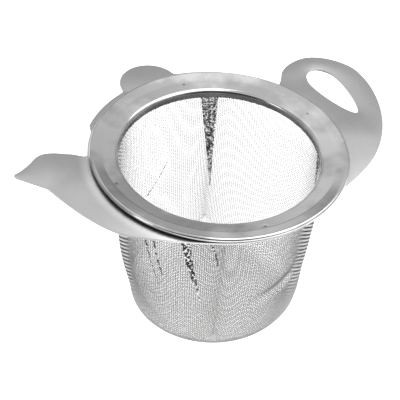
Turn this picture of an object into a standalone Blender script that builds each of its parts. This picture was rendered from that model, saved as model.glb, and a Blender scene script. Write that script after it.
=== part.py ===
"""Tea strainer: a teapot-shaped plate, a polished rim ring, a drawn wire-cloth cup and four spot welds.

Metres, +Z up. The origin is the centre of the cup's flat base. +X points to the teapot's handle and +Y to
the lid's knob. The teapot shape is cut from one flat sheet that lies level and rests on a mug's rim.
"""
import math

import bmesh
import bpy
from mathutils import Vector

mm = 0.001

# Sheets and the gap left between pieces that touch
ring_sheet = 0.40 * mm
plate_sheet = 0.60 * mm
cloth_sheet = 0.40 * mm
gap = 0.30 * mm

# Rim ring, from the mouth outwards
mouth_radius = 29.5 * mm        # inside of the collar
flat_band = 4.7 * mm            # collar's inside to the crease where the rising band starts
rising_band = 3.8 * mm          # crease to the outside of the rolled bead
collar_depth = 3.0 * mm         # ring's flat top to the collar's lower end
bead_radius = 0.55 * mm         # rolled outer edge
bead_rise = 0.65 * mm           # bead's top above the flat band
bead_wrap = 100.0               # degrees that the bead turns past its top before the sheet ends
crease_radius = mouth_radius + flat_band
ring_radius = crease_radius + rising_band

# Wire-cloth cup
cup_depth = 57.0 * mm           # ring's flat top to the underside of the cup
cup_taper = 3.8 * mm            # wall's outside at its foot lies this far inside the mouth's radius
corner_radius = 6.5 * mm
wall_bulge = 1.40 * mm          # how far the curved wall stands out from a straight taper
foot_radius = mouth_radius - cup_taper

# Spot welds between the ring and the plate
weld_radius = 1.0 * mm
weld_inset = 0.9 * mm           # weld's centre inside the crease
weld_angles = (4.0, 76.0, 175.0, 259.0)
weld_circle = crease_radius - weld_inset

# Teapot plate: body and lid are arcs round the body's centre
plate_margin = 0.1 * mm         # body's edge outside the ring's edge
body_rise = 1.0 * mm            # body's centre lies this far towards the knob from the ring's axis
lid_step = 1.4 * mm             # lid's arc outside the body's arc
lid_angle = 41.8                # from +Y to the lid's corner
lid_foot_angle = 46.1           # from +Y to where the lid's end meets the body
knob_radius = 9.0 * mm
knob_start_angle = 9.0          # where the knob's arc starts, from +X
knob_start_heading = 99.0
root_fillet = 1.4 * mm
body_radius = ring_radius + plate_margin

# Teapot plate: spout and handle, drawn in millimetres from the ring's axis for a body of drawn_radius
drawn_radius = 38.1 * mm
outline_unit = mm * body_radius / drawn_radius
spout_reach = 56.4
spout_root_angle = 152.0        # on the body, from +X
spout_root_heading = 215.0
spout_foot_angle = 240.0
spout_foot_reach = 9.0
handle_reach = 60.6
handle_root_angle = 28.5
handle_root_heading = -35.0
handle_foot_angle = -53.0
handle_foot_heading = 17.0
handle_foot_reach = 11.0

# Smooth points of the outline: x, y, heading in degrees, handle lengths before and after the point
spout_points = (
    (-37.6, 21.6, 150.0, 1.6, 2.4),
    (-45.6, 25.5, 182.0, 3.4, 1.8),
    (-50.9, 23.1, 203.0, 2.0, 1.6),
    (1.1 - spout_reach, 21.6, 185.0, 1.4, 0.6),
    (-spout_reach, 20.6, 280.0, 0.6, 0.8),
    (-50.5, 11.5, 300.0, 2.6, 0.0),
    (-50.5, 11.5, 278.0, 0.0, 7.0),
    (-42.9, -13.3, 302.0, 7.6, 6.2),
)
handle_points = (
    (48.4, -15.4, 47.0, 11.0, 10.0),
    (handle_reach, 13.3, 91.0, 10.0, 5.6),
    (48.1, 27.1, 180.0, 6.6, 4.6),
    (38.4, 23.2, 233.0, 2.6, 1.2),
)

# Finger hole in the handle, an egg with its small end down, in the same units
hole_x = 48.1
hole_half_width = 4.65
hole_points = (
    (hole_x, 20.6, 180.0, 2.56, 2.56),
    (hole_x - hole_half_width, 13.6, 270.0, 3.9, 7.4),
    (hole_x - 0.2, -3.4, 0.0, 1.7, 1.7),
    (hole_x + hole_half_width, 13.6, 90.0, 7.4, 3.9),
)

turn_steps = 64
arc_steps = 6
outline_steps = 14

# Heights that follow from the sizes above
ring_top = cup_depth
flange_top = ring_top - ring_sheet - gap
flange_bottom = flange_top - cloth_sheet
plate_top = flange_bottom - gap
plate_bottom = plate_top - plate_sheet

# Radii of the corner where ring, cloth and plate nest, all round the plate's inner edge
cloth_outer_bend = gap
cloth_inner_bend = cloth_outer_bend + cloth_sheet
ring_inner_bend = cloth_inner_bend + gap
ring_outer_bend = ring_inner_bend + ring_sheet
plate_hole_radius = mouth_radius + ring_outer_bend
cloth_radius = plate_hole_radius - cloth_outer_bend
flange_radius = weld_circle - weld_radius - gap


def clear_scene():
    for obj in list(bpy.data.objects):
        bpy.data.objects.remove(obj, do_unlink=True)


def make_collection(name):
    collection = bpy.data.collections.new(name)
    bpy.context.scene.collection.children.link(collection)
    return collection


def make_material(name, color, roughness, metallic=1.0):
    material = bpy.data.materials.new(name)
    material.use_nodes = True
    shader = material.node_tree.nodes["Principled BSDF"]
    shader.inputs["Base Color"].default_value = (*color, 1.0)
    shader.inputs["Roughness"].default_value = roughness
    shader.inputs["Metallic"].default_value = metallic
    return material


def polar(radius, degrees, center=(0.0, 0.0)):
    angle = math.radians(degrees)
    return (center[0] + radius * math.cos(angle), center[1] + radius * math.sin(angle))


def arc(center, radius, start, end, steps=arc_steps):
    """Points of an arc, both ends included, angles in degrees."""
    return [polar(radius, start + (end - start) * i / steps, center) for i in range(steps + 1)]


def bowed_line(start, end, bulge, steps):
    """Points from start to end on a shallow arc that stands out to the left by bulge; ends included."""
    a = Vector(start)
    b = Vector(end)
    side = Vector((a.y - b.y, b.x - a.x)).normalized()
    points = []
    for i in range(steps + 1):
        t = i / steps
        points.append(tuple(a.lerp(b, t) + side * (4.0 * bulge * t * (1.0 - t))))
    return points


# ---- turned pieces -------------------------------------------------------------------------------

def turned_sheet(name, profile, thickness, material, collection):
    """A sheet turned round Z from its outer face, thickened inwards. Profile points are (radius, height)."""
    mesh = bpy.data.meshes.new(name)
    verts = [(radius, 0.0, height) for radius, height in profile]
    edges = [(i, i + 1) for i in range(len(verts) - 1)]
    mesh.from_pydata(verts, edges, [])
    obj = bpy.data.objects.new(name, mesh)
    collection.objects.link(obj)
    screw = obj.modifiers.new("Turn", "SCREW")
    screw.axis = "Z"
    screw.steps = turn_steps
    screw.render_steps = turn_steps
    screw.use_merge_vertices = True
    screw.merge_threshold = 0.00001
    screw.use_smooth_shade = True
    solidify = obj.modifiers.new("Sheet", "SOLIDIFY")
    solidify.thickness = thickness
    solidify.offset = -1.0
    solidify.use_even_offset = True
    obj.data.materials.append(material)
    return obj


def rim_ring(collection):
    lip_center = (plate_hole_radius, plate_top)
    bead_center = (ring_radius - bead_radius, ring_top + bead_rise - bead_radius)
    slope = math.degrees(math.atan2(bead_rise, bead_center[0] - crease_radius))
    profile = [(mouth_radius, ring_top - collar_depth)]
    profile += arc(lip_center, ring_outer_bend, 180.0, 90.0)
    profile.append((crease_radius, ring_top))
    profile += arc(bead_center, bead_radius, 90.0 + slope, 90.0 - bead_wrap - slope)
    polished = make_material("polished_steel", (0.80, 0.80, 0.80), 0.12)
    return turned_sheet("rim_ring", profile, ring_sheet, polished, collection)


def wire_cup(collection):
    corner_center = (foot_radius - corner_radius, corner_radius)
    bend_center = (plate_hole_radius, plate_top)
    wall_top = (cloth_radius, ring_top - collar_depth)
    profile = [(flange_radius, flange_bottom)]
    profile += arc(bend_center, cloth_outer_bend, 90.0, 180.0, 4)
    profile += bowed_line(wall_top, (foot_radius, corner_radius), wall_bulge, 9)
    profile += arc(corner_center, corner_radius, 0.0, -90.0)[1:]
    profile.append((0.0, 0.0))
    cloth = make_material("wire_cloth", (0.70, 0.70, 0.70), 0.35)
    return turned_sheet("mesh_basket", profile, cloth_sheet, cloth, collection)


# ---- teapot plate --------------------------------------------------------------------------------

def anchor(point, heading, reach_in, reach_out):
    """A smooth point of an outline: where it is, its heading in degrees and its two handle lengths."""
    along = Vector(polar(1.0, heading))
    place = Vector(point)
    return (place, place - along * reach_in, place + along * reach_out)


def drawn_anchors(points):
    """Anchors from rows of drawn points, brought to the body's size."""
    anchors = []
    for x, y, heading, reach_in, reach_out in points:
        place = (x * outline_unit, y * outline_unit)
        anchors.append(anchor(place, heading, reach_in * outline_unit, reach_out * outline_unit))
    return anchors


def leave(point, heading, reach):
    """The same anchor, left in another direction."""
    return (point[0], point[1], point[0] + Vector(polar(reach, heading)))


def arc_anchors(center, radius, start, end):
    """Smooth points along an arc, one for each sixth of a turn or less."""
    count = max(1, math.ceil(abs(end - start) / 60.0))
    step = (end - start) / count
    reach = radius * 4.0 / 3.0 * math.tan(math.radians(abs(step)) / 4.0)
    side = 90.0 if step > 0 else -90.0
    points = []
    for i in range(count + 1):
        angle = start + step * i
        points.append(anchor(polar(radius, angle, center), angle + side, reach, reach))
    points[0] = (points[0][0], points[0][0], points[0][2])
    points[-1] = (points[-1][0], points[-1][1], points[-1][0])
    return points


def add_outline(curve, anchors):
    spline = curve.splines.new("BEZIER")
    spline.bezier_points.add(len(anchors) - 1)
    for point, (place, handle_in, handle_out) in zip(spline.bezier_points, anchors):
        point.co = (*place, 0.0)
        point.handle_left_type = "FREE"
        point.handle_right_type = "FREE"
        point.handle_left = (*handle_in, 0.0)
        point.handle_right = (*handle_out, 0.0)
    spline.use_cyclic_u = True
    spline.resolution_u = outline_steps


def lid_anchors(body_center):
    """The lid's raised arc with the knob on it, from its +X end to its -X end."""
    lid_radius = body_radius + lid_step
    knob_center = (0.0, body_center[1] + lid_radius * math.cos(math.asin(knob_radius / lid_radius)))
    root_angle = math.degrees(math.asin((knob_radius + root_fillet) / lid_radius))
    root_reach = root_fillet * 0.8
    right_arc = arc_anchors(body_center, lid_radius, 90.0 - lid_angle, 90.0 - root_angle)
    left_arc = arc_anchors(body_center, lid_radius, 90.0 + root_angle, 90.0 + lid_angle)
    knob = arc_anchors(knob_center, knob_radius, knob_start_angle, 180.0 - knob_start_angle)
    knob_reach = (knob[0][2] - knob[0][0]).length
    knob[0] = anchor(knob[0][0], knob_start_heading, root_reach, knob_reach)
    knob[-1] = anchor(knob[-1][0], 360.0 - knob_start_heading, knob_reach, root_reach)
    right_arc[-1] = leave(right_arc[-1], 180.0 - root_angle, root_reach)
    left_start = left_arc[0][0] - Vector(polar(root_reach, 180.0 + root_angle))
    left_arc[0] = (left_arc[0][0], left_start, left_arc[0][2])
    return right_arc + knob + left_arc


def teapot_outline():
    """The plate's outside, anticlockwise from the spout's foot."""
    center = (0.0, body_rise)
    outline = arc_anchors(center, body_radius, spout_foot_angle, 360.0 + handle_foot_angle)
    foot_reach = (outline[0][2] - outline[0][0]).length
    outline[0] = anchor(outline[0][0], spout_foot_angle + 90.0, spout_foot_reach * outline_unit, foot_reach)
    outline[-1] = leave(outline[-1], handle_foot_heading, handle_foot_reach * outline_unit)
    outline += drawn_anchors(handle_points)
    body_right = arc_anchors(center, body_radius, handle_root_angle, 90.0 - lid_foot_angle)
    right_start = body_right[0][0] + Vector(polar(root_fillet, handle_root_heading))
    body_right[0] = (body_right[0][0], right_start, body_right[0][2])
    outline += body_right
    outline += lid_anchors(center)
    body_left = arc_anchors(center, body_radius, 90.0 + lid_foot_angle, spout_root_angle)
    body_left[-1] = leave(body_left[-1], spout_root_heading, root_fillet)
    outline += body_left
    outline += drawn_anchors(spout_points)
    return outline


def teapot_plate(collection):
    curve = bpy.data.curves.new("teapot_plate", "CURVE")
    curve.dimensions = "2D"
    curve.fill_mode = "BOTH"
    curve.extrude = plate_sheet / 2.0
    add_outline(curve, teapot_outline())
    hole = arc_anchors((0.0, 0.0), plate_hole_radius, 0.0, 360.0)
    hole[0] = (hole[0][0], hole[-1][1], hole[0][2])
    add_outline(curve, hole[:-1])
    add_outline(curve, drawn_anchors(hole_points))
    obj = bpy.data.objects.new("teapot_plate", curve)
    obj.location.z = (plate_top + plate_bottom) / 2.0
    obj.data.materials.append(make_material("satin_steel", (0.62, 0.62, 0.62), 0.32))
    collection.objects.link(obj)
    return obj


# ---- spot welds ----------------------------------------------------------------------------------

def spot_weld(number, degrees, collection):
    """A weld's nugget, a small disc between the ring's underside and the plate."""
    height = ring_top - ring_sheet - plate_top - 2.0 * gap
    name = "spot_weld_{}".format(number)
    mesh = bpy.data.meshes.new(name)
    bm = bmesh.new()
    bmesh.ops.create_cone(
        bm, cap_ends=True, segments=20, radius1=weld_radius, radius2=weld_radius, depth=height)
    bm.to_mesh(mesh)
    bm.free()
    mesh.shade_smooth()
    mesh.set_sharp_from_angle(angle=math.radians(40.0))
    obj = bpy.data.objects.new(name, mesh)
    x, y = polar(weld_circle, degrees)
    obj.location = (x, y, plate_top + gap + height / 2.0)
    obj.data.materials.append(make_material(name + "_steel", (0.45, 0.43, 0.41), 0.5))
    collection.objects.link(obj)
    return obj


clear_scene()
parts = make_collection("tea_strainer")
teapot_plate(parts)
rim_ring(parts)
wire_cup(parts)
for index, degrees in enumerate(weld_angles, start=1):
    spot_weld(index, degrees, parts)
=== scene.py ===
import math

import bmesh
import bpy
import numpy as np
from mathutils import Matrix, Vector


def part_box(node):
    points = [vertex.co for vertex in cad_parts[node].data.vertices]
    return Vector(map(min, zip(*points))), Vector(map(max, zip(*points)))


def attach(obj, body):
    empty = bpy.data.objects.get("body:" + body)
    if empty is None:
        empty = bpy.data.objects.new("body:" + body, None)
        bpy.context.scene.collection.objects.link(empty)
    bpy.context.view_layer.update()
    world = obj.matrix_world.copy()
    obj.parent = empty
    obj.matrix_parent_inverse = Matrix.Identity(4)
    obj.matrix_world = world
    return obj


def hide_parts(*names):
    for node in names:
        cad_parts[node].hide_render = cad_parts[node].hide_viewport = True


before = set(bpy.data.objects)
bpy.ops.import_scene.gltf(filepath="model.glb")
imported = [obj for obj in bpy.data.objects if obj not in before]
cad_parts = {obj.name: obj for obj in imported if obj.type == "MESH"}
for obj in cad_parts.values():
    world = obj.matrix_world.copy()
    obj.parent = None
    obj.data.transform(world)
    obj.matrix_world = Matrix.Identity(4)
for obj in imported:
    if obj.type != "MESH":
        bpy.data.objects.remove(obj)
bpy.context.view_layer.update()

mm = 0.001


def addObject(name, mesh):
    obj = bpy.data.objects.new(name, mesh)
    bpy.context.scene.collection.objects.link(obj)
    return obj


def meshFromBmesh(name, bm):
    mesh = bpy.data.meshes.new(name)
    bm.to_mesh(mesh)
    bm.free()
    return mesh


def clamp01(values):
    return np.clip(values, 0.0, 1.0)


def smoothStep(edge0, edge1, values):
    t = clamp01((values - edge0) / (edge1 - edge0))
    return t * t * (3.0 - 2.0 * t)


ringLow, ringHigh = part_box("rim_ring")
cupLow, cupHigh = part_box("mesh_basket")
weldCenters = []
for number in range(1, 5):
    low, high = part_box("spot_weld_{}".format(number))
    weldCenters.append(((low + high) / 2.0).xy)

ring = dict(
    outer=ringHigh.x, crease=ringHigh.x - 3.8 * mm, mouth=ringHigh.x - 8.5 * mm,
    lip=1.4 * mm, bead=0.7 * mm, rise=0.65 * mm, sheet=0.4 * mm, wrap=178.0, dish=0.33 * mm,
    collarSteps=6, lipSteps=12, bandSteps=12, riseSteps=8, beadSteps=18, steps=512,
    dimple=0.9 * mm, dimpleDepth=0.04 * mm)      # over each weld
ring["bottom"] = ringLow.z
ring["top"] = ringHigh.z - ring["rise"]      # the flat band's height


# a node's output that takes part in sums, so shader maths reads as sums
class Sock:
    def __init__(self, tree, socket):
        self.tree = tree
        self.socket = socket

    def math(self, operation, *others):
        values = [self] + list(others)
        return self.tree.add("ShaderNodeMath", {"operation": operation}, dict(enumerate(values)))

    def __add__(self, other):
        return self.math("ADD", other)

    def __radd__(self, other):
        return self.math("ADD", other)

    def __sub__(self, other):
        return self.math("SUBTRACT", other)

    def __rsub__(self, other):
        return self.tree.add("ShaderNodeMath", {"operation": "SUBTRACT"}, {0: other, 1: self})

    def __mul__(self, other):
        return self.math("MULTIPLY", other)

    def __rmul__(self, other):
        return self.math("MULTIPLY", other)


# adds nodes to a node tree: their type, their settings, then their inputs
class Tree:
    def __init__(self, nodeTree):
        self.nodeTree = nodeTree

    def add(self, nodeType, settings=None, inputs=None, output=0):
        node = self.nodeTree.nodes.new(nodeType)
        for key, value in (settings or {}).items():
            if key == "stops":
                self.setStops(node.color_ramp, value)
            else:
                setattr(node, key, value)
        for key, value in (inputs or {}).items():
            if isinstance(value, Sock):
                self.nodeTree.links.new(value.socket, node.inputs[key])
            else:
                node.inputs[key].default_value = value
        return Sock(self, node.outputs[output])

    def setStops(self, ramp, stops):
        while len(ramp.elements) > 1:
            ramp.elements.remove(ramp.elements[-1])
        ramp.elements[0].position, ramp.elements[0].color = stops[0]
        for position, color in stops[1:]:
            ramp.elements.new(position).color = color


def newMaterial(name):
    material = bpy.data.materials.new(name)
    material.use_nodes = True
    nodeTree = material.node_tree
    nodeTree.nodes.clear()
    tree = Tree(nodeTree)
    output = nodeTree.nodes.new("ShaderNodeOutputMaterial")
    shader = nodeTree.nodes.new("ShaderNodeBsdfPrincipled")
    nodeTree.links.new(shader.outputs[0], output.inputs[0])
    return material, tree, shader


def gray(value):
    return (value, value, value, 1.0)


def plug(tree, shader, name, value):
    if isinstance(value, Sock):
        tree.nodeTree.links.new(value.socket, shader.inputs[name])
    else:
        shader.inputs[name].default_value = value


def objectCoords(tree):
    return tree.add("ShaderNodeTexCoord", output=3)


def noiseOf(tree, coords, scale, detail):
    return tree.add("ShaderNodeTexNoise", {}, {"Vector": coords, "Scale": scale, "Detail": detail})


# the same value in all three channels
def grayOf(tree, tone):
    return tree.add("ShaderNodeCombineXYZ", {}, {0: tone, 1: tone, 2: tone})


# how far a point is from the Z axis
def fromAxis(tree, coords):
    level = tree.add("ShaderNodeVectorMath", {"operation": "MULTIPLY"}, {0: coords, 1: (1.0, 1.0, 0.0)})
    return tree.add("ShaderNodeVectorMath", {"operation": "LENGTH"}, {0: level}, 1)


# a share that runs from 0 where the value is low to 1 where it is high, either way round
def rampOf(tree, value, low, high, smooth=True):
    settings = {"interpolation_type": "SMOOTHSTEP"} if smooth else {}
    return tree.add("ShaderNodeMapRange", settings, {"Value": value, "From Min": low, "From Max": high})


# a share that is 1 near one azimuth round Z and 0 beyond the edge, both in degrees from it
def towardAzimuth(tree, coords, azimuth, edge, full):
    level = tree.add("ShaderNodeVectorMath", {"operation": "MULTIPLY"}, {0: coords, 1: (1.0, 1.0, 0.0)})
    level = tree.add("ShaderNodeVectorMath", {"operation": "NORMALIZE"}, {0: level})
    angle = math.radians(azimuth)
    share = tree.add("ShaderNodeVectorMath", {"operation": "DOT_PRODUCT"},
                     {0: level, 1: (math.cos(angle), math.sin(angle), 0.0)}, 1)
    return rampOf(tree, share, math.cos(math.radians(edge)), math.cos(math.radians(full)))


satin = dict(
    dark=0.35, spread=0.22, cut=0.75, roughness=0.36, grain=0.05, waviness=0.15,
    cloudScale=60.0, fineScale=2600.0, cloudShare=0.6, fineBump=0.06, fineDepth=0.02 * mm, waveDepth=0.4 * mm,
    paintedHalo=0.2, paintedHaloAzimuth=200.0, paintedHaloEdge=75.0, paintedHaloFull=40.0,      # painted reflection: lighter beside the ring, a soft band standing for the ring's bright edge
    paintedHaloFrom=0.5 * mm, paintedHaloTo=4.0 * mm)


def satinSteel():
    material, tree, shader = newMaterial("satinSteel")
    coords = objectCoords(tree)
    clouds = noiseOf(tree, coords, satin["cloudScale"], 4.0)
    fine = noiseOf(tree, coords, satin["fineScale"], 3.0)
    upward = tree.add("ShaderNodeSeparateXYZ", {}, {0: tree.add("ShaderNodeTexCoord", output=1)}, 2)
    flat = upward * upward
    mottle = clouds * satin["cloudShare"] + fine * (1.0 - satin["cloudShare"])
    tone = (satin["dark"] + mottle * satin["spread"]) * (satin["cut"] + flat * (1.0 - satin["cut"]))
    # painted reflection: a light band on the plate beside the ring, on one side only
    far, near = ring["outer"] + satin["paintedHaloTo"], ring["outer"] + satin["paintedHaloFrom"]
    beside = rampOf(tree, fromAxis(tree, coords), far, near)
    side = towardAzimuth(tree, coords, satin["paintedHaloAzimuth"], satin["paintedHaloEdge"], satin["paintedHaloFull"])
    tone = tone + beside * side * satin["paintedHalo"]
    plug(tree, shader, "Base Color", grayOf(tree, tone))
    plug(tree, shader, "Roughness", satin["roughness"] + (fine - 0.5) * satin["grain"])
    plug(tree, shader, "Metallic", 1.0)
    bump = tree.add("ShaderNodeBump", {}, {"Strength": satin["fineBump"], "Distance": satin["fineDepth"],
                                           "Height": fine})
    wave = tree.add("ShaderNodeBump", {}, {"Strength": satin["waviness"], "Distance": satin["waveDepth"],
                                           "Height": clouds, "Normal": bump})
    plug(tree, shader, "Normal", wave)
    return material


polish = dict(
    tone=0.42, smear=0.22, smearScale=75.0, smearFrom=0.36, smearTo=0.62, scuffScale=1400.0,
    roughness=0.13, scuffRoughness=0.04, edgeRoughness=0.12, scuffBump=0.05, scuffDepth=0.05 * mm,
    edge=0.22, edgeLow=1.7 * mm, edgeHigh=0.7 * mm,                # painted shade: the lip and collar are darker than the band
    sideShade=0.2, sideShadeAzimuth=148.0, sideShadeEdge=60.0, sideShadeFull=5.0,      # painted shade: one side of the ring is darker
    under=0.85, underFrom=0.3 * mm, underTo=0.45 * mm,             # painted shade: the bead's underside darkened into a dark gap line
    markCore=0.1 * mm, markRim=0.62 * mm, markTone=0.42)           # tint over each weld


def polishedSteel():
    material, tree, shader = newMaterial("polishedSteel")
    coords = objectCoords(tree)
    smears = noiseOf(tree, coords, polish["smearScale"], 3.0)
    scuffs = noiseOf(tree, coords, polish["scuffScale"], 2.0)
    height = tree.add("ShaderNodeSeparateXYZ", {}, {0: coords}, 2)
    face = rampOf(tree, height, ring["top"] - polish["edgeLow"], ring["top"] - polish["edgeHigh"])
    patches = rampOf(tree, smears, polish["smearFrom"], polish["smearTo"])
    # painted shade: the tone drops below the flat band, over the lip and collar
    tone = (polish["tone"] + patches * polish["smear"]) * (polish["edge"] + face * (1.0 - polish["edge"]))
    # painted shade: the ring is darker towards one side
    side = towardAzimuth(tree, coords, polish["sideShadeAzimuth"], polish["sideShadeEdge"], polish["sideShadeFull"])
    tone = tone * (1.0 - side * polish["sideShade"])
    # painted shade under the bead: its lowest part is darkened
    inner, outer = ring["outer"] - 2.2 * ring["bead"], ring["outer"] - 1.9 * ring["bead"]
    bead = rampOf(tree, fromAxis(tree, coords), inner, outer, smooth=False)      # the rolled part only
    start, end = ring["top"] - polish["underFrom"], ring["top"] - polish["underTo"]
    under = rampOf(tree, height, start, end, smooth=False)
    tone = tone * (1.0 - bead * under * polish["under"])
    for center in weldCenters:
        far = tree.add("ShaderNodeVectorMath", {"operation": "DISTANCE"},
                       {0: coords, 1: (center.x, center.y, ring["top"])}, 1)
        mark = rampOf(tree, far, polish["markCore"], polish["markRim"])
        tone = tone * (polish["markTone"] + mark * (1.0 - polish["markTone"]))
    plug(tree, shader, "Base Color", grayOf(tree, tone))
    rough = polish["roughness"] + (scuffs - 0.5) * polish["scuffRoughness"]
    plug(tree, shader, "Roughness", rough + (1.0 - face) * polish["edgeRoughness"])
    plug(tree, shader, "Metallic", 1.0)
    bump = tree.add("ShaderNodeBump", {}, {"Strength": polish["scuffBump"], "Distance": polish["scuffDepth"],
                                           "Height": scuffs})
    plug(tree, shader, "Normal", bump)
    return material


foldTone = dict(dark=0.02, glint=0.95, scale=1500.0, glintFrom=0.50, glintFull=0.58,
                roughness=0.3, spread=0.1)


# wire of the pressed pleats: painted shade, near black where layers hide each other, with painted glints in a
# fine noise for light caught where wires cross
def shadedFoldSteel():
    material, tree, shader = newMaterial("shadedFoldSteel")
    glints = noiseOf(tree, objectCoords(tree), foldTone["scale"], 1.0)
    share = rampOf(tree, glints, foldTone["glintFrom"], foldTone["glintFull"], smooth=False)
    tone = foldTone["dark"] + share * (foldTone["glint"] - foldTone["dark"])
    plug(tree, shader, "Base Color", grayOf(tree, tone))
    plug(tree, shader, "Roughness", foldTone["roughness"] + glints * foldTone["spread"])
    plug(tree, shader, "Metallic", 1.0)
    return material


weldTone = dict(dark=(0.36, 0.31, 0.27, 1.0), light=(0.50, 0.48, 0.47, 1.0), scale=900.0,
                roughness=0.4, spread=0.2)


def weldSteel():
    material, tree, shader = newMaterial("weldSteel")
    tint = noiseOf(tree, objectCoords(tree), weldTone["scale"], 3.0)
    color = tree.add("ShaderNodeMix", {"data_type": "RGBA"},
                     {"Factor": tint, 6: weldTone["dark"], 7: weldTone["light"]}, 2)
    plug(tree, shader, "Base Color", color)
    plug(tree, shader, "Roughness", weldTone["roughness"] + tint * weldTone["spread"])
    plug(tree, shader, "Metallic", 1.0)
    return material


wireTone = dict(
    inside=0.36, outside=0.2, turn=0.5, heart=35.0 * mm,           # painted light and shade: the cup's two sides, lighter inside, and its middle
    outwardFrom=-0.2, outwardTo=0.1,
    spread=0.12, drawnScale=220.0, roughness=0.24, roughSpread=0.12,
    base=0.2, baseFrom=20.0 * mm, baseTo=5.0 * mm,                 # painted light: lighter towards the base
    # painted light and shade: slanting light and dark stripes down both sides of the cup
    bandLength=1.5 * mm, bandAzimuth=53.5, bandTilt=40.0, bandDark=0.02, bandBright=0.72,
    bandSoft=0.5, bandEdge=30.0, bandFull=22.0, bandStart=8.0 * mm, bandEnd=4.0 * mm,
    bands=[(151.0, 8.0 * mm, 56.0 * mm), (317.0, 12.0 * mm, 49.0 * mm)])      # azimuth, lowest, highest


# drawn wire, with painted light: brighter on the side that faces into the cup, and painted stripes of light
# and shade in slanting bands down both sides of the cup
def wireSteel():
    material, tree, shader = newMaterial("wireSteel")
    coords = objectCoords(tree)
    drawn = noiseOf(tree, coords, wireTone["drawnScale"], 2.0)
    heart = (0.0, 0.0, wireTone["heart"])
    away = tree.add("ShaderNodeVectorMath", {"operation": "SUBTRACT"}, {0: coords, 1: heart})
    away = tree.add("ShaderNodeVectorMath", {"operation": "NORMALIZE"}, {0: away})
    facing = tree.add("ShaderNodeVectorMath", {"operation": "DOT_PRODUCT"},
                      {0: away, 1: tree.add("ShaderNodeTexCoord", output=1)}, 1)
    # painted light: wires that face into the cup are lighter, those that face out darker
    turned = rampOf(tree, facing, -wireTone["turn"], wireTone["turn"])
    tone = wireTone["inside"] + turned * (wireTone["outside"] - wireTone["inside"])
    tone = tone + (drawn - 0.5) * wireTone["spread"]
    height = tree.add("ShaderNodeSeparateXYZ", {}, {0: coords}, 2)
    # painted light: the wire is lighter towards the base
    low = rampOf(tree, height, wireTone["baseFrom"], wireTone["baseTo"], smooth=False)
    tone = tone + low * wireTone["base"]
    # painted light and shade: light and dark stripes on the outward side of the wires
    toward, rise = math.radians(wireTone["bandAzimuth"]), math.tan(math.radians(wireTone["bandTilt"]))
    slant = tree.add("ShaderNodeVectorMath", {"operation": "DOT_PRODUCT"},
                     {0: coords, 1: (math.cos(toward) * rise, math.sin(toward) * rise, 1.0)}, 1)
    beat = (slant * (2.0 * math.pi / wireTone["bandLength"])).math("SINE")
    light = rampOf(tree, beat, -wireTone["bandSoft"], wireTone["bandSoft"])
    band = wireTone["bandDark"] + light * (wireTone["bandBright"] - wireTone["bandDark"])
    outward = rampOf(tree, facing, wireTone["outwardFrom"], wireTone["outwardTo"], smooth=False)
    for azimuth, lowest, highest in wireTone["bands"]:
        share = towardAzimuth(tree, coords, azimuth, wireTone["bandEdge"], wireTone["bandFull"]) * outward
        share = share * rampOf(tree, height, lowest, lowest + wireTone["bandStart"], smooth=False)
        share = share * rampOf(tree, height, highest, highest - wireTone["bandEnd"], smooth=False)
        tone = tone * (1.0 - share) + band * share
    plug(tree, shader, "Base Color", grayOf(tree, tone))
    plug(tree, shader, "Roughness", wireTone["roughness"] + drawn * wireTone["roughSpread"])
    plug(tree, shader, "Metallic", 1.0)
    return material


def arcPoints(center, radius, start, end, count):
    angles = np.radians(np.linspace(start, end, count + 1))
    return [(center[0] + radius * math.cos(a), center[1] + radius * math.sin(a)) for a in angles]


def linePoints(start, end, count):
    ts = np.linspace(0.0, 1.0, count + 1)
    return [(start[0] + (end[0] - start[0]) * t, start[1] + (end[1] - start[1]) * t) for t in ts]


def spinProfile(points, steps):
    bm = bmesh.new()
    verts = [bm.verts.new((r, 0.0, z)) for r, z in points]
    edges = [bm.edges.new(pair) for pair in zip(verts, verts[1:])]
    bmesh.ops.spin(bm, geom=verts + edges, cent=(0, 0, 0), axis=(0, 0, 1), angle=2 * math.pi,
                   steps=steps, use_merge=True)
    bmesh.ops.remove_doubles(bm, verts=bm.verts, dist=1e-7)
    return bm


def makeRing(material):
    print("rim ring")
    top = ring["top"]
    lipCenter = (ring["mouth"] + ring["lip"], top - ring["dish"] - ring["lip"])
    beadCenter = (ring["outer"] - ring["bead"], top + ring["rise"] - ring["bead"])
    slope = math.degrees(math.atan2(ring["rise"], beadCenter[0] - ring["crease"]))
    points = linePoints((ring["mouth"], ring["bottom"]), (ring["mouth"], lipCenter[1]), ring["collarSteps"])
    points += arcPoints(lipCenter, ring["lip"], 180.0, 90.0, ring["lipSteps"])[1:]
    points += linePoints(points[-1], (ring["crease"], top), ring["bandSteps"])[1:]
    bead = arcPoints(beadCenter, ring["bead"], 90.0 + slope, 90.0 - ring["wrap"] - slope, ring["beadSteps"])
    points += linePoints(points[-1], bead[0], ring["riseSteps"])[1:] + bead[1:]
    bm = spinProfile(points, ring["steps"])
    bmesh.ops.recalc_face_normals(bm, faces=bm.faces)
    for vert in bm.verts:
        for center in weldCenters:
            far = (vert.co.xy - center).length / ring["dimple"]
            if far < 1.0 and vert.co.z > top - ring["lip"]:
                vert.co.z -= ring["dimpleDepth"] * (1.0 - far * far) ** 2
    mesh = meshFromBmesh("rimRing", bm)
    mesh.shade_smooth()
    obj = addObject("rimRing", mesh)
    solid = obj.modifiers.new("sheet", "SOLIDIFY")
    solid.thickness = ring["sheet"]
    solid.offset = -1.0
    solid.use_even_offset = True
    mesh.materials.append(material)
    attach(obj, "root")
    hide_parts("rim_ring")


plateEdge = dict(bevel=0.07 * mm, segments=2, cutAngle=60.0, flatAngle=0.5, smoothAngle=32.0)


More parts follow.
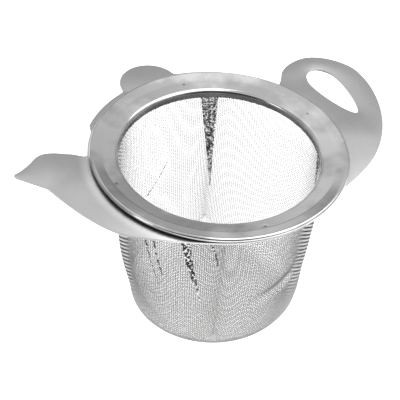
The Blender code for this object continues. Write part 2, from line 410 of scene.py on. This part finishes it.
def makePlate(material):
    print("teapot plate")
    bm = bmesh.new()
    bm.from_mesh(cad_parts["teapot_plate"].data)
    bmesh.ops.remove_doubles(bm, verts=bm.verts, dist=1e-6)
    shared = [e for e in bm.edges if len(e.link_faces) == 2]
    flat = [e for e in shared if e.calc_face_angle() < math.radians(plateEdge["flatAngle"])]
    bmesh.ops.dissolve_edges(bm, edges=flat, use_verts=False, use_face_split=False)
    shared = [e for e in bm.edges if len(e.link_faces) == 2]
    rims = [e for e in shared if e.calc_face_angle() > math.radians(plateEdge["cutAngle"])]
    rims = [e for e in rims if abs(e.verts[0].co.z - e.verts[1].co.z) < 1e-6]
    bmesh.ops.bevel(bm, geom=rims, offset=plateEdge["bevel"], offset_type="OFFSET", affect="EDGES",
                    segments=plateEdge["segments"], profile=0.5, material=-1)
    bmesh.ops.triangulate(bm, faces=[f for f in bm.faces if len(f.verts) > 4])
    mesh = meshFromBmesh("teapotPlate", bm)
    mesh.shade_smooth()
    mesh.set_sharp_from_angle(angle=math.radians(plateEdge["smoothAngle"]))
    obj = addObject("teapotPlate", mesh)
    mesh.materials.append(material)
    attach(obj, "root")
    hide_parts("teapot_plate")


cloth = dict(
    pitch=0.66 * mm, wire=0.078 * mm, wave=0.10 * mm,      # spacing, wire radius, weave height each way
    netRadius=26.3 * mm, lockShare=0.86, warpAngle=15.0,
    foot=ring["mouth"] - 3.8 * mm, corner=5.2 * mm, mouth=ring["mouth"] + 0.9 * mm, bulge=1.4 * mm,
    middle=0.18 * mm, bend=0.5 * mm, flange=cupHigh.x - 0.4 * mm,
    flatSteps=20, cornerSteps=24, wallSteps=40, bendSteps=6, parts=3)


# the cloth's middle surface from the base's centre to the flange's edge: arc lengths, radii, heights
def cupPath():
    base = cupLow.z + cloth["middle"]
    flat = cloth["foot"] - cloth["corner"]
    points = linePoints((0.0, base), (flat, base), cloth["flatSteps"])
    cornerCenter = (flat, base + cloth["corner"])
    points += arcPoints(cornerCenter, cloth["corner"], -90.0, 0.0, cloth["cornerSteps"])[1:]
    cornerAt = len(points) - 1 - cloth["cornerSteps"] // 2      # half way round the corner
    bottom = points[-1]
    topEnd = (cloth["mouth"], ringLow.z)
    run = Vector((topEnd[0] - bottom[0], topEnd[1] - bottom[1]))
    side = Vector((run.y, -run.x)).normalized()
    for t in np.linspace(0.0, 1.0, cloth["wallSteps"] + 1)[1:]:
        bow = 4.0 * cloth["bulge"] * t * (1.0 - t)
        points.append((bottom[0] + run.x * t + side.x * bow, bottom[1] + run.y * t + side.y * bow))
    bendCenter = (cloth["mouth"] + cloth["bend"], cupHigh.z - cloth["middle"] - cloth["bend"])
    points += arcPoints(bendCenter, cloth["bend"], 180.0, 90.0, cloth["bendSteps"])
    points.append((cloth["flange"], points[-1][1]))
    path = np.array(points)
    lengths = np.concatenate([[0.0], np.cumsum(np.hypot(*np.diff(path, axis=0).T))])
    return lengths, path[:, 0], path[:, 1], lengths[cornerAt]


pathLengths, pathRadii, pathHeights, cornerLength = cupPath()
wallReach = pathLengths[-1] - cornerLength      # cloth above the base's corner
lockCount = int(cloth["lockShare"] * cloth["netRadius"] / cloth["pitch"])
lockReach = (lockCount + 0.5) * cloth["pitch"]      # the pleats' middle lines run between two wires


# how far round the cup a wire gets where it leaves the base's edge, at most an eighth of the way
def quarterReach(distance):
    phi = np.arcsin(clamp01(distance / cloth["netRadius"]))
    return cloth["netRadius"] * (phi / 2.0 + np.sin(2.0 * phi) / 4.0)


# cloth coordinates to the cup: azimuth and length along the cup's profile
def netToCup(u, v):
    r = cloth["netRadius"]
    au, av = np.abs(u), np.abs(v)
    big, small = np.maximum(au, av), np.minimum(au, av)
    eighth = math.pi * r / 4.0
    locked = np.minimum(big, lockReach)
    rest = eighth - quarterReach(big)
    x = eighth * (rest + quarterReach(small)) / (rest + quarterReach(locked))
    x = np.where(au >= av, x, 2.0 * eighth - x)
    y = (np.minimum(au, r) ** 2 + np.minimum(av, r) ** 2 - r * r) / (2.0 * r)
    y = y + np.maximum(au - r, 0.0) + np.maximum(av - r, 0.0)
    onBase = au * au + av * av <= r * r
    angle = np.where(onBase, np.arctan2(av, au), x / r)
    angle = np.where(u < 0.0, math.pi - angle, angle)
    angle = np.where(v < 0.0, -angle, angle)
    length = np.where(onBase, np.hypot(u, v) * cornerLength / r, cornerLength + y)
    return angle + math.radians(cloth["warpAngle"]), length


# where hands have pressed the cloth in: azimuths and heights of the middle of a long soft crease
crease = dict(azimuths=[255.0, 268.0, 285.0, 303.0, 318.0], heights=[20.5, 22.4, 25.0, 29.0, 33.0],
              depths=[0.0, 0.55, 0.85, 0.55, 0.0], width=2.4 * mm)
# and where the wall leans in (or out, below zero): azimuth, height, spread round, spread up, depth
leans = [
    (150.0, 36.0, 24.0, 12.0, 0.45),
    (150.0, 7.0, 30.0, 9.0, 0.95),
    (196.0, 8.0, 12.0, 4.0, 0.35),
    (214.0, 9.0, 14.0, 5.0, -0.25),
    (323.0, 6.0, 30.0, 9.0, -1.35),
    (60.0, 40.0, 25.0, 10.0, 0.15),
]


# how far the hand-formed cloth lies inside its even shape
def unevenness(angle, height):
    degrees = np.degrees(angle) % 360.0
    middle = np.interp(degrees, crease["azimuths"], crease["heights"]) * mm
    depth = np.interp(degrees, crease["azimuths"], crease["depths"], left=0.0, right=0.0) * mm
    inward = depth * np.exp(-((height - middle) / crease["width"]) ** 2)
    for azimuth, middle, around, tall, depth in leans:
        aside = (degrees - azimuth) / around
        lift = (height / mm - middle) / tall
        inward = inward + depth * mm * np.exp(-aside * aside - lift * lift)
    return inward * smoothStep(0.0, 3.0 * mm, height)


# points on the cloth's middle surface and their outward normals
def cupSurface(angle, length):
    step = 0.05 * mm
    height = np.interp(length, pathLengths, pathHeights)
    radius = np.interp(length, pathLengths, pathRadii) - unevenness(angle, height)
    before, after = length - step, length + step
    dr = np.interp(after, pathLengths, pathRadii) - np.interp(before, pathLengths, pathRadii)
    dz = np.interp(after, pathLengths, pathHeights) - np.interp(before, pathLengths, pathHeights)
    size = np.maximum(np.hypot(dr, dz), 1e-12)
    nr, nz = dz / size, -dr / size
    point = np.stack([radius * np.cos(angle), radius * np.sin(angle), height], -1)
    normal = np.stack([nr * np.cos(angle), nr * np.sin(angle), nz], -1)
    return point, normal


# one wire's points, one for each wire that it crosses, over and under by turns
def wirePoints(fixedIndex, alongIndices, warp):
    along = alongIndices * cloth["pitch"]
    fixed = np.full(len(along), fixedIndex * cloth["pitch"])
    angle, length = netToCup(along, fixed) if warp else netToCup(fixed, along)
    point, normal = cupSurface(angle, length)
    over = np.where((alongIndices + fixedIndex) % 2 == 0, 1.0, -1.0)
    sign = np.where(alongIndices % 1 == 0, over, 0.0) * (1.0 if warp else -1.0)
    return point + normal * (sign * cloth["wave"])[:, None], length


# every wire of one direction: through wires that pass the base and rim wires that end at the pleats
def clothWires(warp):
    wires = []
    last = int((cloth["netRadius"] + wallReach) / cloth["pitch"])
    for fixedIndex in range(-last, last + 1):
        if abs(fixedIndex) <= lockCount:
            indices = np.arange(-last, last + 1)
        else:
            ends = np.array([lockCount + 0.5])
            indices = np.concatenate([-ends, np.arange(-lockCount, lockCount + 1), ends])
        points, length = wirePoints(fixedIndex, indices, warp)
        inside = length <= pathLengths[-1]
        for run in np.split(np.arange(len(indices)), np.where(np.diff(inside.astype(int)) != 0)[0] + 1):
            if inside[run[0]] and len(run) > 2:
                wires.append(points[run])
    return wires


def wireMesh(name, wires):
    curve = bpy.data.curves.new(name, "CURVE")
    curve.dimensions = "3D"
    curve.bevel_depth = cloth["wire"]
    curve.bevel_resolution = 0
    curve.use_fill_caps = True
    for points in wires:
        spline = curve.splines.new("POLY")
        spline.points.add(len(points) - 1)
        spline.points.foreach_set("co", np.c_[points, np.ones(len(points))].ravel())
        spline.use_smooth = True
    tool = addObject(name + "Curve", curve)
    mesh = bpy.data.meshes.new_from_object(tool.evaluated_get(bpy.context.evaluated_depsgraph_get()))
    bpy.data.objects.remove(tool)
    bpy.data.curves.remove(curve)
    mesh.name = name
    return mesh


def makeCloth(material):
    print("woven cup")
    for direction, warp in (("warp", True), ("weft", False)):
        wires = clothWires(warp)
        total = sum(len(w) for w in wires)
        groups, group, size = [], [], 0
        for wire in wires:
            group.append(wire)
            size += len(wire)
            if size > total / cloth["parts"]:
                groups.append(group)
                group, size = [], 0
        if group:
            groups.append(group)
        for index, group in enumerate(groups, start=1):
            name = "{}Wires{}".format(direction, index)
            obj = addObject(name, wireMesh(name, group))
            obj.data.materials.append(material)
            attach(obj, "root")
            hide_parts("mesh_basket")
            print("  ", name, len(group), "wires", len(obj.data.polygons), "faces")


# each pleat: height, azimuth and width down its length, and the side of the cloth it is folded to
pleats = [
    dict(name="backPleat", side=-1.0, rows=[(54.2, 62.4, 5.5), (35.5, 60.1, 2.7), (18.8, 58.1, 0.3)]),
    dict(name="frontPleat", side=1.0, rows=[
        (54.2, 215.8, 3.6), (47.0, 219.5, 2.9), (38.0, 223.0, 2.1), (33.5, 224.6, 1.2), (30.5, 225.2, 0.2)]),
    dict(name="frontTail", side=1.0, rows=[
        (38.0, 224.6, 0.5), (31.3, 226.6, 0.7), (25.0, 229.2, 0.5), (21.0, 231.2, 0.2)]),
    dict(name="rightPleat", side=-1.0, rows=[(54.2, 337.0, 3.4), (48.0, 336.8, 2.0), (41.0, 335.8, 0.3)]),
    dict(name="leftCrease", side=1.0, rows=[
        (54.2, 196.5, 0.8), (42.4, 200.8, 0.8), (35.0, 204.0, 0.7), (31.5, 206.3, 0.5), (29.0, 209.8, 0.2)]),
    dict(name="outerCrease", side=1.0, rows=[
        (48.0, 193.6, 0.3), (40.9, 195.2, 0.9), (36.0, 197.8, 0.6), (31.0, 200.7, 0.4), (25.5, 204.5, 0.2)]),
    dict(name="innerCrease", side=-1.0, rows=[
        (30.5, 87.6, 0.3), (27.5, 90.5, 0.35), (24.0, 96.5, 0.4), (20.8, 104.4, 0.5)]),
    dict(name="frontCrease", side=1.0, rows=[
        (52.0, 231.6, 0.8), (48.2, 233.6, 0.8), (44.0, 236.4, 0.6), (40.0, 237.7, 0.3)]),
]
fold = dict(lift=0.24 * mm, step=0.4 * mm, leans=(-24.0, 17.0, 40.0), spacing=0.27 * mm)


def wallLength(height):
    wall = pathLengths >= cornerLength
    return np.interp(height, pathHeights[wall], pathLengths[wall])


# slanting wires that fill the strip that a pleat covers
def pleatWires(rows, side):
    heights, azimuths, widths = np.array(rows).T
    along = wallLength(heights[0] * mm) - wallLength(heights * mm)
    wires = []
    for order, lean in enumerate(fold["leans"]):
        slope = math.tan(math.radians(lean))
        reach = along[-1] * abs(slope) + widths.max() * mm
        across = fold["spacing"] / math.cos(math.radians(lean))
        for number in range(-int(reach / across), int(reach / across) + 1):
            s = np.arange(0.0, along[-1], fold["step"])
            w = number * across + (s - along[-1] / 2.0) * slope
            half = np.interp(s, along, widths) * mm / 2.0
            inside = np.abs(w) <= half
            for run in np.split(np.arange(len(s)), np.where(np.diff(inside.astype(int)) != 0)[0] + 1):
                if not inside[run[0]] or len(run) < 2:
                    continue
                center = np.radians(np.interp(s[run], along, azimuths))
                angle = center + w[run] / cloth["mouth"]
                point, normal = cupSurface(angle, wallLength(heights[0] * mm) - s[run])
                sign = np.where((run + number + order) % 2 == 0, 1.0, -1.0)
                wires.append(point + normal * (side * fold["lift"] + sign * cloth["wave"] * 0.5)[:, None])
    return wires


def makePleats(material):
    print("pleats")
    wires = []
    for pleat in pleats:
        laid = pleatWires(pleat["rows"], pleat["side"])
        wires += laid
        print("  ", pleat["name"], len(laid), "wires")
    obj = addObject("pleatWires", wireMesh("pleatWires", wires))
    obj.data.materials.append(material)
    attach(obj, "root")
    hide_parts("mesh_basket")
    print("  ", obj.name, len(obj.data.polygons), "faces")


studio = dict(
    azimuth=-36.5, elevation=40.0, distance=456.0 * mm, lens=140.64, roll=4.861, pan=0.7257, tilt=1.762,
    floorSize=3.0, floorTone=0.68, floorRoughness=0.9, floorShine=0.1, floorGap=0.02 * mm,
    floorGlow=0.955, poolRadius=0.16, poolEdge=0.30, poolRest=0.2,      # the floor glows round the object
    nearSide=0.15, nearFrom=0.45, nearTo=0.9,                      # the room is darker on the camera's side
    room=[(0.0, 0.55), (0.36, 0.80), (0.52, 0.30), (0.66, 0.34), (0.77, 0.66), (0.9, 0.66), (1.0, 0.3)])
lamps = [
    dict(name="topBox", azimuth=58.0, elevation=64.0, distance=0.6, width=0.64, height=0.64, power=2.6),
    dict(name="skyPanel", azimuth=143.0, elevation=82.0, distance=0.75, width=1.76, height=1.76, power=4.8),
    dict(name="sideBox", azimuth=-92.0, elevation=16.0, distance=0.8, width=0.22, height=0.4, power=0.6),
]


def makeFloor():
    bm = bmesh.new()
    bmesh.ops.create_grid(bm, x_segments=1, y_segments=1, size=studio["floorSize"])
    mesh = meshFromBmesh("floor", bm)
    obj = addObject("floor", mesh)
    material, tree, shader = newMaterial("paleFloor")
    shader.inputs["Base Color"].default_value = gray(studio["floorTone"])
    distance = tree.add("ShaderNodeVectorMath", {"operation": "LENGTH"}, {0: objectCoords(tree)}, 1)
    pool = 1.0 - rampOf(tree, distance, studio["poolRadius"], studio["poolEdge"]) * (1.0 - studio["poolRest"])
    plug(tree, shader, "Emission Color", grayOf(tree, pool))
    shader.inputs["Emission Strength"].default_value = studio["floorGlow"]
    shader.inputs["Roughness"].default_value = studio["floorRoughness"]
    shader.inputs["Specular IOR Level"].default_value = studio["floorShine"]
    mesh.materials.append(material)
    obj.location.z = cupLow.z - studio["floorGap"]


def direction(azimuth, elevation):
    a, e = math.radians(azimuth), math.radians(elevation)
    return Vector((math.sin(a) * math.cos(e), -math.cos(a) * math.cos(e), math.sin(e)))


def makeCamera():
    back = direction(studio["azimuth"], studio["elevation"])
    right = Vector((0.0, 0.0, 1.0)).cross(back).normalized()
    up = back.cross(right)
    turn = Matrix((right, up, back)).transposed()
    turn = turn @ Matrix.Rotation(math.radians(studio["roll"]), 3, "Z")
    turn = turn @ Matrix.Rotation(math.radians(studio["pan"]), 3, "Y")
    turn = turn @ Matrix.Rotation(math.radians(-studio["tilt"]), 3, "X")
    data = bpy.data.cameras.new("camera")
    data.lens = studio["lens"]
    data.sensor_width = 36.0
    camera = bpy.data.objects.new("camera", data)
    bpy.context.scene.collection.objects.link(camera)
    target = Vector((0.0, 0.0, ring["top"]))
    camera.matrix_world = Matrix.LocRotScale(target + back * studio["distance"], turn.to_quaternion(), None)
    bpy.context.scene.camera = camera


def makeWorld():
    world = bpy.data.worlds.new("studioWorld")
    bpy.context.scene.world = world
    world.use_nodes = True
    world.node_tree.nodes.clear()
    tree = Tree(world.node_tree)
    output = world.node_tree.nodes.new("ShaderNodeOutputWorld")
    background = world.node_tree.nodes.new("ShaderNodeBackground")
    world.node_tree.links.new(background.outputs[0], output.inputs[0])
    outward = tree.add("ShaderNodeTexCoord")
    height = tree.add("ShaderNodeSeparateXYZ", {}, {0: outward}, 2)
    stops = [(at, gray(tone)) for at, tone in studio["room"]]
    tones = tree.add("ShaderNodeValToRGB", {"stops": stops}, {0: height})
    facing = tree.add("ShaderNodeVectorMath", {"operation": "DOT_PRODUCT"},
                      {0: outward, 1: direction(studio["azimuth"], 0.0)}, 1)
    shade = 1.0 - rampOf(tree, facing, studio["nearFrom"], studio["nearTo"]) * (1.0 - studio["nearSide"])
    shaded = tree.add("ShaderNodeVectorMath", {"operation": "SCALE"}, {0: tones, "Scale": shade})
    world.node_tree.links.new(shaded.socket, background.inputs["Color"])
    background.inputs["Strength"].default_value = 1.0


def makeLamps():
    for spec in lamps:
        toward = direction(spec["azimuth"], spec["elevation"])
        data = bpy.data.lights.new(spec["name"], "AREA")
        data.shape = "RECTANGLE"
        data.size = spec["width"]
        data.size_y = spec["height"]
        data.energy = spec["power"]
        lamp = bpy.data.objects.new(spec["name"], data)
        bpy.context.scene.collection.objects.link(lamp)
        lamp.location = Vector((0.0, 0.0, ring["top"])) + toward * spec["distance"]
        lamp.rotation_euler = toward.to_track_quat("Z", "Y").to_euler()


makeRing(polishedSteel())
makePlate(satinSteel())
makeCloth(wireSteel())
makePleats(shadedFoldSteel())
weld = weldSteel()
for number in range(1, 5):
    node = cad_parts["spot_weld_{}".format(number)]
    node.data.materials.clear()
    node.data.materials.append(weld)

print("studio")
makeFloor()
makeWorld()
makeLamps()
makeCamera()
bpy.context.scene.view_settings.view_transform = "Standard"
